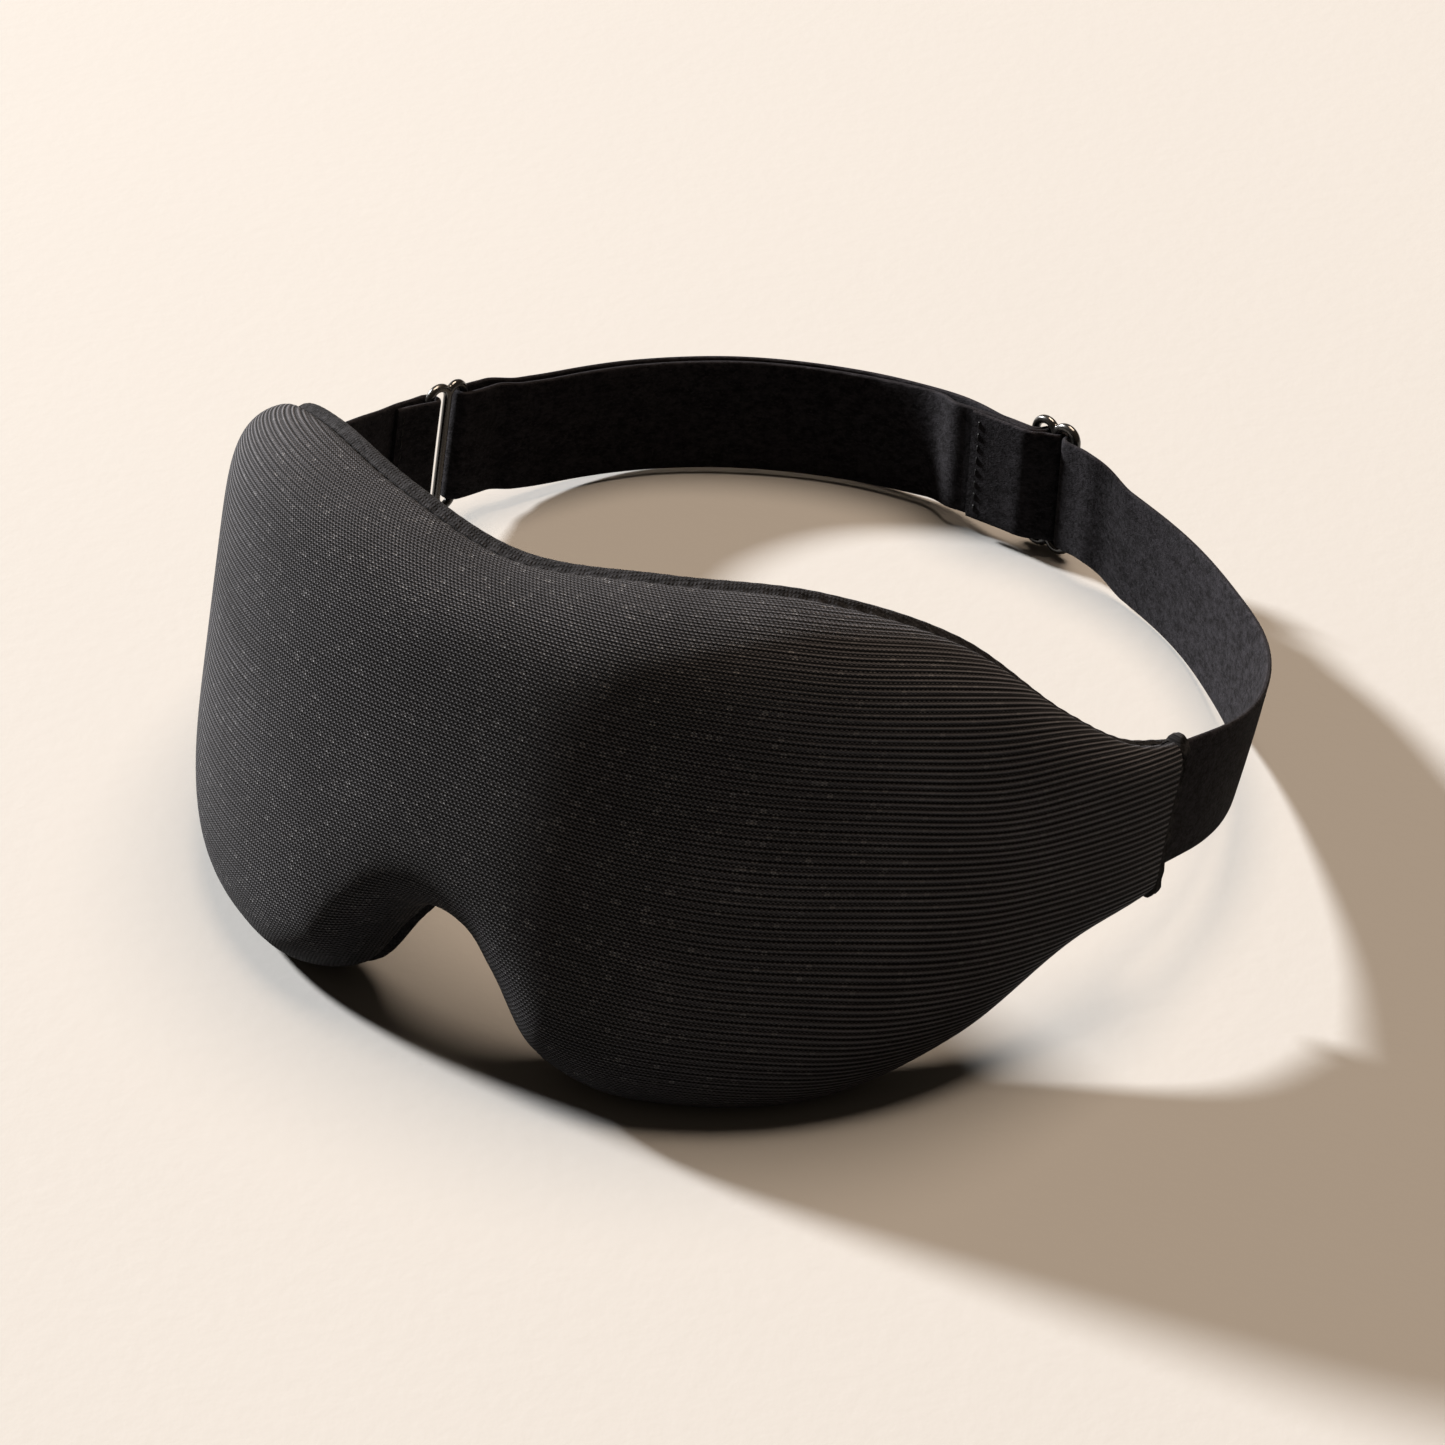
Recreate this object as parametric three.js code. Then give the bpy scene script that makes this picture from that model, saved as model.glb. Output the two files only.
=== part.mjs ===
// Padded sleep mask with an adjustable strap. Millimetres, +Z up.
// The mask is laid out in a "head frame": X to the wearer's left, Y from the face to the back of the
// head, Z up the face. The whole frame is then tipped back by PITCH, so that the mask stands on the
// two lobes of its pad and on the back of its strap.
import * as THREE from 'three';
import { mergeVertices } from 'three/addons/utils/BufferGeometryUtils.js';

// ---- driving dimensions ----
const PITCH = 0.2235;          // lean of the head frame, radians
const LIFT = 46.1;             // head-frame origin above the floor
const CENTRE = [1.9, -78.2];   // moves the box centre onto the origin
const HALF = 121.6;            // half length of the pad, measured along its bend
const BEND = [1.26, 0.087];    // heading of the bend: BEND[0] t + BEND[1] t^3, t = u / HALF
const SLOPE = 0.0818;          // backward slope of the pad's face per mm of height
const FULLNESS = 6.6;          // exponent of the pad's rounded edge
const TOP = [[0, 37.2], [26, 40.4], [52, 41.9], [76, 36], [98, 22.5], [111, 16.2], [HALF, 14.1]];
const BOTTOM = [[0, -22.9], [9, -29.9], [18, -42.2], [28, -46.6], [44, -47], [64, -43.7],
  [86, -32.4], [106, -17.5], [HALF, -13.4]];
const FRONT_DEPTH = [[0, 12.7], [36, 14], [73, 10.7], [103, 5.8], [HALF, 3.6]];
const BACK_DEPTH = [[0, 6], [36, 6.5], [73, 5.5], [103, 3], [HALF, 2.3]];
const SHELL = 1.6;             // cover and lining thickness
const GAP = 0.3;               // gap between touching pieces
const EYE = { u: 33, v: -3, wide: 27, tall: 21, deep: 11.5 };
const WELT = { long: 2.4, top: 14.6, bottom: -14 };

const LOOP_CENTRE = [0, 84.2];
// degrees round the loop, radius, height, lean in degrees
const LOOP = [[-10, 91.1, 1.4, -1], [16, 90.4, -0.9, 6], [44, 88.4, -0.8, 0], [71, 89, 3.4, -6],
  [85, 90, 7, -6], [98, 94, 6.3, -4], [112, 98.5, 4.8, -2], [125, 101.7, 3, 0],
  [138, 103.4, 0.1, 0], [151, 101.8, -2.2, -1], [164, 97.9, -1.6, -2], [190, 91.1, 1.4, 0]];
const STRAP = { wide: 23, thick: 1 };
const RING = { at: 162.5, pitch: 4.8, wire: 1.8, slot: 24.4 };
const SLIDER = { at: 83.5, pitch: 5.2, wire: 1.8, slot: 24.4, swing: 96 };
const SPLIT = 150;             // where the ring half of the doubled strap meets the slider half

const look = {
  cover: { color: 0x2a2a2b, roughness: 0.9 },
  lining: { color: 0x232325, roughness: 0.95 },
  foam: { color: 0x4a4a4c, roughness: 1 },
  webbing: { color: 0x26272a, roughness: 0.95 },
  thread: { color: 0x17171a, roughness: 0.85 },
  hardware: { color: 0x101010, roughness: 0.25 },
};

// ---- curves ----
// smooth curve through knots [x, y...], by piecewise cubics with weighted mean slopes
function through(knots, x, k = 1) {
  const n = knots.length - 1;
  const slope = (i) => (knots[i + 1][k] - knots[i][k]) / (knots[i + 1][0] - knots[i][0]);
  const at = (i) => {
    if (i === 0) return slope(0);
    if (i === n) return slope(n - 1);
    const a = knots[i][0] - knots[i - 1][0], b = knots[i + 1][0] - knots[i][0];
    return (slope(i - 1) * b + slope(i) * a) / (a + b);
  };
  const v = Math.min(Math.max(x, knots[0][0]), knots[n][0]);
  let i = 0;
  while (i < n - 1 && v > knots[i + 1][0]) i += 1;
  const h = knots[i + 1][0] - knots[i][0], t = (v - knots[i][0]) / h;
  return (2 * t ** 3 - 3 * t * t + 1) * knots[i][k] + (t ** 3 - 2 * t * t + t) * h * at(i)
    + (3 * t * t - 2 * t ** 3) * knots[i + 1][k] + (t ** 3 - t * t) * h * at(i + 1);
}
const mirrored = (knots) => [...knots.slice(1).reverse().map(([a, b]) => [-a, b]), ...knots];

// plan of the bent pad: point and heading at the distance u from the middle
const STEP = 0.5;
const planTable = [[0, 0]];
const heading = (u) => {
  const t = Math.min(Math.abs(u), HALF) / HALF;
  return Math.sign(u) * (BEND[0] * t + BEND[1] * t ** 3);
};
for (let u = STEP; u <= HALF + 8; u += STEP) {
  const [x, y] = planTable.at(-1), h = heading(u - STEP / 2);
  planTable.push([x + STEP * Math.cos(h), y + STEP * Math.sin(h)]);
}
function plan(u) {
  const a = Math.abs(u) / STEP, i = Math.floor(a), f = a - i;
  const [p, q] = [planTable[i], planTable[i + 1]];
  return [Math.sign(u) * (p[0] + f * (q[0] - p[0])), p[1] + f * (q[1] - p[1]), heading(u)];
}
// head-frame point at u along the pad, v up it and d in front of its seam
function onPad(u, v, d) {
  const [x, y, h] = plan(u);
  return [x + Math.sin(h) * d, y - Math.cos(h) * d + SLOPE * v, v];
}

// ---- the pad's flat outline, crossed by curved columns from bottom to top ----
const bottomKnots = mirrored(BOTTOM);
const run = bottomKnots.reduce((all, p, i) => {
  const q = bottomKnots[Math.max(i - 1, 0)];
  return [...all, (all.at(-1) ?? 0) + Math.hypot(p[0] - q[0], p[1] - q[1])];
}, []);
const bottomPath = bottomKnots.map((p, i) => [2 * run[i] / run.at(-1) - 1, ...p]);
const topKnots = mirrored(TOP);
function column(q) {
  const spot = (s) => [through(bottomPath, s, 1), through(bottomPath, s, 2)];
  const B = spot(q), e = 1e-3;
  const [a, b] = [spot(Math.max(q - e, -1)), spot(Math.min(q + e, 1))];
  const u = 0.55 * B[0] + 0.45 * q * HALF, T = [u, through(topKnots, u)];
  const rise = (through(topKnots, u + 0.05) - through(topKnots, u - 0.05)) / 0.1;
  const unit = (x, y) => [x / Math.hypot(x, y), y / Math.hypot(x, y)];
  return { B, T, b: unit(a[1] - b[1], b[0] - a[0]), t: unit(-rise, 1), long: Math.hypot(T[0] - B[0], T[1] - B[1]) };
}
const padTable = new Map();
function flat(q, w) {
  if (!padTable.has(q)) padTable.set(q, column(q));
  const { B, T, b, t, long } = padTable.get(q), a = (1 + w) / 2, m = 0.9 * long;
  return [0, 1].map((i) => (2 * a ** 3 - 3 * a * a + 1) * B[i] + (a ** 3 - 2 * a * a + a) * m * b[i]
    + (3 * a * a - 2 * a ** 3) * T[i] + (a ** 3 - a * a) * m * t[i]);
}
const halfColumn = (q) => { flat(q, 0); return padTable.get(q).long / 2; };
const rounded = (w) => Math.sqrt(Math.max(0, 1 - Math.abs(w) ** FULLNESS));
const eyes = (u, v) => {
  const r = ((Math.abs(u) - EYE.u) / EYE.wide) ** 2 + ((v - EYE.v) / EYE.tall) ** 2;
  return r < 1 ? EYE.deep * (1 - r) ** 2 : 0;
};
const frontAt = (u) => through(mirrored(FRONT_DEPTH), u);
const backAt = (u) => through(mirrored(BACK_DEPTH), u);

// a box whose two big faces are sculpted: face(u, v, edge) gives the depth, edge runs 0 at the rim to 1
function padLayer(across, up, front, back) {
  const g = new THREE.BoxGeometry(2, 2, 1, across, up, 1), p = g.attributes.position;
  for (let i = 0; i < p.count; i += 1) {
    const side = p.getZ(i) > 0 ? front : back;
    const q = p.getX(i) * (1 - side.inset / HALF - (side.short ?? 0) / HALF);
    const w = Math.sin(Math.PI / 2 * p.getY(i)) * (1 - side.inset / halfColumn(q));
    const [u, v] = flat(q, w);
    const edge = rounded(Math.sin(Math.PI / 2 * p.getY(i)));
    p.setXYZ(i, ...rest(onPad(u, v, side.depth(u, v, edge)), side.inset));
  }
  return closed(g);
}
// the soft pad flattens where it meets the floor; each inner layer stays its own height above it
function rest([x, y, z], above) {
  const below = Math.max(0, y * Math.sin(PITCH) - z * Math.cos(PITCH) - LIFT + above);
  return [x, y - below * Math.sin(PITCH), z + below * Math.cos(PITCH)];
}
function closed(g) {
  g.deleteAttribute('normal');
  g.deleteAttribute('uv');
  const merged = mergeVertices(g, 1e-4);
  merged.computeVertexNormals();
  return merged;
}

// ---- the strap ----
const rad = Math.PI / 180;
const loopAt = (deg, out = 0) => {
  const r = through(LOOP, deg) + out;
  return [LOOP_CENTRE[0] + r * Math.cos(deg * rad), LOOP_CENTRE[1] + r * Math.sin(deg * rad)];
};
const degreesOf = ([x, y]) => {
  const d = Math.atan2(y - LOOP_CENTRE[1], x - LOOP_CENTRE[0]) / rad;
  return d < -90 ? d + 360 : d;
};
// local frame of a buckle: t runs round the loop towards the wearer's left, r outwards
function buckleFrame({ at }) {
  const a = loopAt(at + 1), b = loopAt(at - 1), s = loopAt(at);
  const l = Math.hypot(b[0] - a[0], b[1] - a[1]), dir = [(b[0] - a[0]) / l, (b[1] - a[1]) / l];
  const out = [-dir[1], dir[0]], lean = through(LOOP, at, 3) * rad;
  return { s, dir, out, z: through(LOOP, at, 2), lean,
    spot: ([t, r]) => [s[0] + t * dir[0] + r * out[0], s[1] + t * dir[1] + r * out[1]] };
}
const ringFrame = buckleFrame(RING), sliderFrame = buckleFrame(SLIDER);
const SWING = sliderFrame.spot([0, -SLIDER.swing]);

// a ribbon on edge along plan points; frame gives height and lean, either fixed or read from the loop
function ribbon(points, steps, frame = null, endShear = null) {
  const curve = new THREE.CatmullRomCurve3(points.map(([x, y]) => new THREE.Vector3(x, y, 0)),
    false, 'centripetal');
  curve.arcLengthDivisions = 400;
  const g = new THREE.BoxGeometry(1, 1, 1, steps, 1, 1), p = g.attributes.position;
  for (let i = 0; i < p.count; i += 1) {
    const s = p.getX(i) + 0.5, h = p.getZ(i) * STRAP.wide;
    const c = curve.getPointAt(s), d = curve.getTangentAt(s);
    const deg = degreesOf([c.x, c.y]);
    const lean = frame ? frame.lean : through(LOOP, deg, 3) * rad;
    const out = frame ? frame.out : [Math.cos(deg * rad), Math.sin(deg * rad)];
    const z = frame ? frame.z : through(LOOP, deg, 2);
    const n = [-d.y, d.x], o = p.getY(i) * STRAP.thick;
    const along = endShear ? endShear(s) * h : 0;
    p.setXYZ(i, c.x + n[0] * o + out[0] * h * Math.sin(lean) + d.x * along,
      c.y + n[1] * o + out[1] * h * Math.sin(lean) + d.y * along, z + h * Math.cos(lean));
  }
  return closed(g);
}
const arc = ([t, r], radius, from, to, n) => Array.from({ length: n + 1 }, (_, i) => {
  const a = (from + (to - from) * i / n) * rad;
  return [t + radius * Math.cos(a), r + radius * Math.sin(a)];
});

// ---- the two buckles: flat frames with three bars and two slots ----
function buckle({ pitch, wire, slot }) {
  const W = pitch + wire / 2, H = slot / 2 + wire, c = 2.4;
  const s = new THREE.Shape();
  s.moveTo(-W, -H + c);
  s.lineTo(-W, H - c);
  s.quadraticCurveTo(-W, H, -W + c, H);
  s.lineTo(-1.9, H);
  s.quadraticCurveTo(-0.8, H, 0, H - 0.9);
  s.quadraticCurveTo(0.8, H, 1.9, H);
  s.lineTo(W - c, H);
  s.quadraticCurveTo(W, H, W, H - c);
  s.lineTo(W, -H + c);
  s.quadraticCurveTo(W, -H, W - c, -H);
  s.lineTo(1.9, -H);
  s.quadraticCurveTo(0.8, -H, 0, -H + 0.9);
  s.quadraticCurveTo(-0.8, -H, -1.9, -H);
  s.lineTo(-W + c, -H);
  s.quadraticCurveTo(-W, -H, -W, -H + c);
  for (const side of [-1, 1]) {
    const x = side * pitch / 2, w = (pitch - wire) / 2, h = slot / 2;
    const hole = new THREE.Path();
    hole.moveTo(x - w, -h + 0.3);
    hole.quadraticCurveTo(x, -h - 0.3, x + w, -h + 0.3);
    hole.lineTo(x + w, h - 0.3);
    hole.quadraticCurveTo(x, h + 0.3, x - w, h - 0.3);
    s.holes.push(hole);
  }
  const bevel = 0.4;
  const g = new THREE.ExtrudeGeometry(s, { depth: wire - 2 * bevel, bevelThickness: bevel, bevelSize: bevel,
    bevelOffset: -bevel, bevelSegments: 1, curveSegments: 3 });
  g.translate(0, 0, -wire / 2 + bevel);
  return closed(g);
}
// stands a buckle on its frame: its x along the strap, its y up, its z outwards
function stand(mesh, frame) {
  const up = new THREE.Vector3(frame.out[0] * Math.sin(frame.lean), frame.out[1] * Math.sin(frame.lean),
    Math.cos(frame.lean));
  const x = new THREE.Vector3(frame.dir[0], frame.dir[1], 0), z = new THREE.Vector3().crossVectors(x, up);
  mesh.setRotationFromMatrix(new THREE.Matrix4().makeBasis(x, up, z));
  mesh.position.set(frame.s[0], frame.s[1], frame.z);
  return mesh;
}

// ---- assembly ----
const head = new THREE.Group();
function add(name, geometry, style) {
  const mesh = new THREE.Mesh(geometry, new THREE.MeshStandardMaterial({ metalness: 0, ...style }));
  mesh.name = name;
  head.add(mesh);
  return mesh;
}

add('front_cover', padLayer(46, 10,
  { inset: 0, depth: (u, v, e) => frontAt(u) * e },
  { inset: SHELL, depth: (u, v, e) => (frontAt(u) - SHELL) * e }), look.cover);
add('face_lining', padLayer(46, 12,
  { inset: SHELL, depth: (u, v, e) => -GAP - (backAt(u) - GAP - SHELL) * e + eyes(u, v) },
  { inset: 0, depth: (u, v, e) => -GAP - (backAt(u) - GAP) * e + eyes(u, v) }), look.lining);
const CLEAR = SHELL + 0.6, RIM = 0.6;
add('foam_core', padLayer(46, 10,
  { inset: CLEAR, short: 12, depth: (u, v, e) => RIM + (frontAt(u) - CLEAR - RIM) * e },
  { inset: CLEAR, short: 12, depth: (u, v, e) => -RIM - (backAt(u) - CLEAR - 1.8) * e + 1.04 * eyes(u, v) }), look.foam);

for (const [side, word] of [[1, 'left'], [-1, 'right']]) {
  const from = HALF + GAP, g = new THREE.BoxGeometry(1, 1, 1, 1, 4, 1), p = g.attributes.position;
  for (let i = 0; i < p.count; i += 1) {
    const u = side * (from + (p.getX(i) + 0.5) * WELT.long);
    const v = WELT.bottom + (p.getY(i) + 0.5) * (WELT.top - WELT.bottom);
    p.setXYZ(i, ...onPad(u, v, 0.6 + p.getZ(i) * 5));
  }
  if (side < 0) g.index.array.reverse();
  add(`tab_welt_${word}`, closed(g), look.cover);
}

const C = [0, 0], S = SLIDER.pitch, round = 1.75, pass = 2.25;
const outer = S - pass, R = [RING.pitch, 0];
const inSlider = [[9, -pass], ...arc([S, 0], pass, 270, 180, 4), ...arc(C, outer, 20, 160, 6),
  ...arc([-S, 0], pass, 0, -90, 4), [-9, -pass]];
const under = S - round;
const endLoop = [[-19, -under - 0.1], [-13, -under], [-9, -under], ...arc([-S, 0], under, -90, -15, 4),
  ...arc(C, round, 170, -60, 9), [-0.9, -2.6], [-2.2, -4.1], [-4, -4.8], [-8, -4.9], [-17, -4.8]];
const local = (frame, points) => points.map(frame.spot);
// bends a buckle's straight local points round the loop's swing centre
const bent = (points) => points.map(([t, r]) => {
  const a = t / SLIDER.swing, k = SLIDER.swing + r, { dir, out } = sliderFrame;
  return [0, 1].map((i) => SWING[i] + k * (Math.sin(a) * dir[i] + Math.cos(a) * out[i]));
});
add('strap_in_slider', ribbon(bent(inSlider), 40, sliderFrame), look.webbing);
add('strap_end_loop', ribbon(bent(endLoop), 52, sliderFrame), look.webbing);
add('ring', buckle(RING), look.hardware);
add('slider', buckle(SLIDER), look.hardware);
stand(head.getObjectByName('ring'), ringFrame);
stand(head.getObjectByName('slider'), sliderFrame);
add('strap_turn', ribbon(local(ringFrame, [[12, 1.7], [8, 1.8], ...arc(R, round, 90, 270, 8), [8, -1.8],
  [12, -1.7]]), 30, ringFrame), look.webbing);

const along = (from, to, n, out) => Array.from({ length: n + 1 }, (_, i) => {
  const d = from + (to - from) * i / n;
  return loopAt(d, out(d));
});
const joinR = [[12.3, 1.7], [14, 1.6]], joinI = [[12.3, -1.7], [14, -1.65]];
const outerOff = (d) => through([[98, -0.6], [115, 0.5], [130, 0.9], [150, 1.2]], d);
const innerOff = (d) => through([[98, -2.6], [115, -2.1], [130, -1.8], [150, -1.6]], d);
const nib = GAP / 100 / rad;
add('outer_run_ring', ribbon([...local(ringFrame, joinR), ...along(152, SPLIT + nib / 2, 1, outerOff)], 8),
  look.webbing);
add('inner_run_ring', ribbon([...local(ringFrame, joinI), ...along(152, SPLIT + nib / 2, 1, innerOff)], 8),
  look.webbing);
add('outer_run_slider', ribbon([...along(SPLIT - nib / 2, 98, 6, outerOff),
  ...bent([[-12, -pass], [-9.6, -pass]])], 22), look.webbing);
add('inner_run_slider', ribbon([...along(SPLIT - nib / 2, 101, 6, innerOff),
  ...bent([[-22, -under - 0.1], [-19.6, -under - 0.1]])], 20), look.webbing);

const endDeg = degreesOf(plan(HALF + GAP * 2 + WELT.long)), lastDeg = 180 - endDeg;
const sideOff = (d) => through([[36, 0], [54, -0.6], [72, -1.8]], d);
const shear = (s) => SLOPE * Math.max(0, (s - 0.8) / 0.2);
add('side_run', ribbon([...bent([[9.6, -pass], [12, -pass]]),
  ...along(72, endDeg, 6, sideOff)], 26, null, (s) => -shear(s)), look.webbing);
add('short_strap', ribbon([...along(lastDeg, 174, 3, () => 0.65), ...local(ringFrame, [[-13, 0.7], [-9, 1.2],
  ...arc([-RING.pitch, 0], round, 90, -90, 8), [-9, -1.2], [-13, -0.7], [-14.4, -0.65]])], 34, null,
(s) => shear(1 - s)), look.webbing);

// ---- stitching ----
function bar(name, frame, t, r, long, deep, tall = STRAP.wide - 2) {
  const mesh = add(name, closed(new THREE.BoxGeometry(long, tall, deep)), look.thread);
  stand(mesh, frame);
  const [x, y] = frame.spot([t, r]);
  mesh.position.set(x, y, frame.z);
  return mesh;
}
bar('strap_end_stitch', sliderFrame, -15.6, -4.9 - 0.5 - GAP - 1.5, 1, 0.5);
bar('short_strap_stitch', ringFrame, -13.2, -0.66 - 0.5 - GAP - 0.25, 1, 0.5);

head.rotation.x = -PITCH;
const mask = new THREE.Group();
head.position.set(CENTRE[0], CENTRE[1], LIFT);
mask.add(head);
const axisPoint = ([x, y]) => new THREE.Vector3(x, y, 0);
mask.userData.joints = {
  slider: axisPoint(SWING), ring: axisPoint(ringFrame.spot([-RING.pitch, 0])),
};
export default mask;
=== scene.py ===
import math

import bmesh
import bpy
import numpy as np
from mathutils import Matrix, Vector

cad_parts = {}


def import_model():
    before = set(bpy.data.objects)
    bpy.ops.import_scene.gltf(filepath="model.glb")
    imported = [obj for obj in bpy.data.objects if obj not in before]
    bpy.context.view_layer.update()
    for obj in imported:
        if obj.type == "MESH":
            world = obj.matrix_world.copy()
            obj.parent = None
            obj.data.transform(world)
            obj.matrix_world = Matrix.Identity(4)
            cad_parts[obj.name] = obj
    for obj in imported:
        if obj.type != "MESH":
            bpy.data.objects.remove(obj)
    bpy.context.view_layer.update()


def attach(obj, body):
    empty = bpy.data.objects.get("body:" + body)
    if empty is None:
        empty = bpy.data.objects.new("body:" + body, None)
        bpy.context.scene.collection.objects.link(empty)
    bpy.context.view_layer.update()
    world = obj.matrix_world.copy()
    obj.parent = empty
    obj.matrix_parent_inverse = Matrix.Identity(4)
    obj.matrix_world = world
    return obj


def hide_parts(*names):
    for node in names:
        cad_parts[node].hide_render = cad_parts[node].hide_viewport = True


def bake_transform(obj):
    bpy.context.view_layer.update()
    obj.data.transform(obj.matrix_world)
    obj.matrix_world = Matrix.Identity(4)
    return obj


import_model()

# Padded sleep mask with an adjustable strap. Lengths are in millimetres in the head frame
# (X to the wearer's left, Y to the back of the head, Z up the face) until world() places them.
MM = 0.001
# how the head frame stands on the floor: tipped back in radians, raised, and moved in plan
PITCH, LIFT, CENTRE = 0.2235, 46.1, (1.9, -78.2)

# the pad: half its length along its bend, the heading at its ends (linear and cubic parts,
# radians), how far it leans back for each millimetre of height, and how full its edge is
HALF = 121.6
BEND = (1.26, 0.087)
SLOPE = 0.0818
FULLNESS = 6.6
# (place along the pad, height) of its outline from the nose to a tab, the same on both sides;
# at the nose the bottom edge is about 1 mm fuller than the CAD's
TOP = [(0, 37.2), (26, 40.4), (52, 41.9), (76, 36), (98, 22.5), (111, 16.2), (HALF, 14.1)]
BOTTOM = [(0, -24), (4.6, -25.3), (9, -30.2), (18, -42.2), (28, -46.6), (44, -47), (64, -43.7),
          (86, -32.4), (106, -17.5), (HALF, -13.4)]
# (place along the pad, depth) in front of and behind the seam
FRONT_DEPTH = [(0, 12.7), (36, 14), (73, 10.7), (103, 5.8), (HALF, 3.6)]
BACK_DEPTH = [(0, 6), (36, 6.5), (73, 5.5), (103, 3), (HALF, 2.3)]
SHELL, GAP = 1.6, 0.3       # thickness of the cover and the lining, and the gap at their seam
EYE_U, EYE_V, EYE_WIDE, EYE_TALL, EYE_DEEP = 33, -3, 27, 21, 11.5
CUP_LINE_AT, CUP_LINE_WIDE, CUP_LINE_PROUD = 0.98, 1.1, 0.55
WELT_LONG, WELT_TOP, WELT_BOTTOM = 2.4, 14.6, -14

# the strap's loop: degrees round it, radius, height and lean in degrees
LOOP_CENTRE = np.array([0, 84.2])
LOOP = [(-10, 91.1, 1.4, -1), (16, 90.4, -0.9, 6), (44, 88.4, -0.8, 0), (71, 89, 3.4, -6),
        (85, 90, 7, -6), (98, 94, 6.3, -4), (112, 98.5, 4.8, -2), (125, 101.7, 3, 0),
        (138, 103.4, 0.1, 0), (151, 101.8, -2.2, -1), (164, 97.9, -1.6, -2), (190, 91.1, 1.4, 0)]
STRAP_WIDE, STRAP_THICK = 23.0, 1.0
# each buckle: degrees round the loop and the distance between its bars
RING_AT, RING_PITCH = 162.5, 4.8
SLIDER_AT, SLIDER_PITCH, SWING_RADIUS = 83.5, 5.2, 96
WIRE, SLOT_TALL = 1.8, 24.4
RING_BAR_SHIFT = 0.35       # how far the ring's middle bar stands off the centre
SPLIT = 150                 # where the webbing of the ring meets the webbing of the slider


# ---- curves, the same functions as the CAD's ----
def through(knots, x, k=1):
    """A smooth curve through the knots: its k-th value at x."""
    t = np.array([p[0] for p in knots], float)
    y = np.array([p[k] for p in knots], float)
    step, slope = np.diff(t), np.diff(y) / np.diff(t)
    at = np.empty(len(t))
    at[0], at[-1] = slope[0], slope[-1]
    at[1:-1] = (slope[:-1] * step[1:] + slope[1:] * step[:-1]) / (step[:-1] + step[1:])
    x = np.clip(np.asarray(x, float), t[0], t[-1])
    i = np.clip(np.searchsorted(t, x, side="left") - 1, 0, len(t) - 2)
    h, a = step[i], (x - t[i]) / step[i]
    return ((2 * a**3 - 3 * a * a + 1) * y[i] + (a**3 - 2 * a * a + a) * h * at[i]
            + (3 * a * a - 2 * a**3) * y[i + 1] + (a**3 - a * a) * h * at[i + 1])


def mirrored(knots):
    return [(-p[0], *p[1:]) for p in knots[:0:-1]] + list(knots)


TOP_ALL, BOTTOM_ALL = mirrored(TOP), mirrored(BOTTOM)
FRONT_ALL, BACK_ALL = mirrored(FRONT_DEPTH), mirrored(BACK_DEPTH)


def heading(u):
    """Which way the pad runs in plan at u, in radians."""
    t = np.minimum(np.abs(u), HALF) / HALF
    return np.sign(u) * (BEND[0] * t + BEND[1] * t**3)


# the pad's middle line in plan, by distance along it from the nose
PLAN_STEP = 0.5
PLAN_U = np.arange(0, HALF + 10, PLAN_STEP)
PLAN_TURN = heading(PLAN_U[1:] - PLAN_STEP / 2)
PLAN_X = np.concatenate([[0], np.cumsum(PLAN_STEP * np.cos(PLAN_TURN))])
PLAN_Y = np.concatenate([[0], np.cumsum(PLAN_STEP * np.sin(PLAN_TURN))])


def on_pad(u, v, d):
    """Head-frame points at u along the pad, v up it and d in front of its seam."""
    u, v, d = np.broadcast_arrays(*(np.asarray(a, float) for a in (u, v, d)))
    x = np.sign(u) * np.interp(np.abs(u), PLAN_U, PLAN_X)
    y = np.interp(np.abs(u), PLAN_U, PLAN_Y)
    h = heading(u)
    return np.stack([x + np.sin(h) * d, y - np.cos(h) * d + SLOPE * v, v], -1)


# the bottom edge by its share of the whole length, from -1 at one tab to 1 at the other
BOTTOM_STEPS = np.hypot(*np.diff(np.array(BOTTOM_ALL), axis=0).T)
BOTTOM_RUN = np.concatenate([[0], np.cumsum(BOTTOM_STEPS)])
BOTTOM_PATH = [(2 * s / BOTTOM_RUN[-1] - 1, *p) for s, p in zip(BOTTOM_RUN, BOTTOM_ALL)]


EVEN = 0.45                 # how far the columns' top ends drift towards even spacing
PULL = 0.9                  # how far a column keeps the direction in which it leaves an edge


def column(q):
    """The ends of the pad's upright curve at q, its directions there, and its length."""
    def spot(s):
        return np.stack([through(BOTTOM_PATH, s, 1), through(BOTTOM_PATH, s, 2)], -1)

    low, e = spot(q), 1e-3
    a, b = spot(np.maximum(q - e, -1)), spot(np.minimum(q + e, 1))
    u = (1 - EVEN) * low[..., 0] + EVEN * q * HALF
    high = np.stack([u, through(TOP_ALL, u)], -1)
    rise = (through(TOP_ALL, u + 0.05) - through(TOP_ALL, u - 0.05)) / 0.1

    def unit(x, y):
        return np.stack([x, y], -1) / np.hypot(x, y)[..., None]

    return (low, high, unit(a[..., 1] - b[..., 1], b[..., 0] - a[..., 0]),
            unit(-rise, np.ones_like(rise)), np.hypot(*(high - low).T).T)


def flat(q, w):
    """Place (u, v) on the pad's flat outline: q runs from tab to tab, w from bottom to top."""
    low, high, b, t, long = column(q)
    a, m = ((1 + w) / 2)[..., None], (PULL * long)[..., None]
    return ((2 * a**3 - 3 * a * a + 1) * low + (a**3 - 2 * a * a + a) * m * b
            + (3 * a * a - 2 * a**3) * high + (a**3 - a * a) * m * t)


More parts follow.
